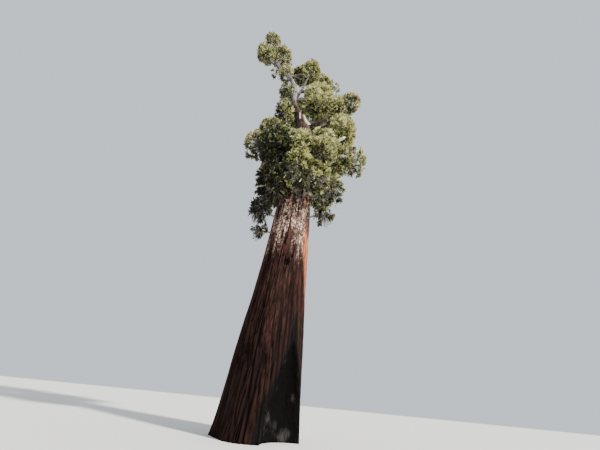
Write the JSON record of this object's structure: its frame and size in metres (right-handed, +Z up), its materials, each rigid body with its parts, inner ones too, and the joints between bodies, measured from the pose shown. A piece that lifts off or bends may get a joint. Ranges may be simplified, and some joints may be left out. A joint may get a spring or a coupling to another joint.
{
  "type": "giant sequoia tree",
  "caption": "Old giant sequoia tree with a burnt hollow at its foot, bare red-brown trunk, crooked leader and clumped olive-green foliage.",
  "frame": {"origin": "centre of the flat cut under the trunk, at ground level", "axes": "+Z up along the trunk, -Y towards the side that the picture was taken from, +X to that viewer's right"},
  "size_m": [11.6804, 7.0064, 39.981],
  "materials": {
    "trunk_bark": "rough, deeply furrowed fibrous bark",
    "bough_bark": "rough weathered bark",
    "dead_wood": "bleached, split grey wood",
    "foliage": "matt"
  },
  "bodies": {
    "root": {"trunk": "trunk_bark", "second_leader": "bough_bark", "bough_centre_right": "bough_bark", "bough_right_tuft": "bough_bark", "bough_leader_left": "bough_bark", "bough_leader_right": "bough_bark", "bough_knob_right": "bough_bark", "bough_right_shoulder": "bough_bark", "bough_right_mid": "bough_bark", "bough_right_outer": "bough_bark", "bough_shoulder_left": "bough_bark", "bough_left_outer": "bough_bark", "bough_right_low": "bough_bark", "bough_back_left": "bough_bark", "bough_back_right": "bough_bark", "bough_back_high_right": "bough_bark", "bough_back_mid": "bough_bark", "dead_limb_front": "dead_wood", "dead_limb_right": "dead_wood", "dead_limb_spur": "dead_wood", "foliage_leader_top": "foliage", "foliage_leader_left": "foliage", "foliage_leader_under": "foliage", "foliage_leader_low": "foliage", "foliage_leader_right": "foliage", "foliage_leader_droop": "foliage", "foliage_centre_left": "foliage", "foliage_centre_top": "foliage", "foliage_centre_right": "foliage", "foliage_right_tuft": "foliage", "foliage_left_column": "foliage", "foliage_knob_right": "foliage", "foliage_right_upper": "foliage", "foliage_right_shoulder": "foliage", "foliage_upper_left": "foliage", "foliage_shoulder_left": "foliage", "foliage_left_inner": "foliage", "foliage_right_inner": "foliage", "foliage_right_mid": "foliage", "foliage_left_outer": "foliage", "foliage_left_front": "foliage", "foliage_front_upper": "foliage", "foliage_front_right": "foliage", "foliage_right_outer": "foliage", "foliage_right_below": "foliage", "foliage_front_mid": "foliage", "foliage_front_low": "foliage", "foliage_left_low": "foliage", "foliage_right_low": "foliage", "foliage_left_hanging": "foliage", "foliage_right_hanging": "foliage", "foliage_left_tuft": "foliage", "foliage_back_low_left": "foliage", "foliage_back_low_right": "foliage", "foliage_back_mid": "foliage", "foliage_back_left": "foliage", "foliage_back_right": "foliage", "foliage_back_upper": "foliage", "foliage_back_high_right": "foliage", "foliage_back_high": "foliage"}
  },
  "joints": []
}
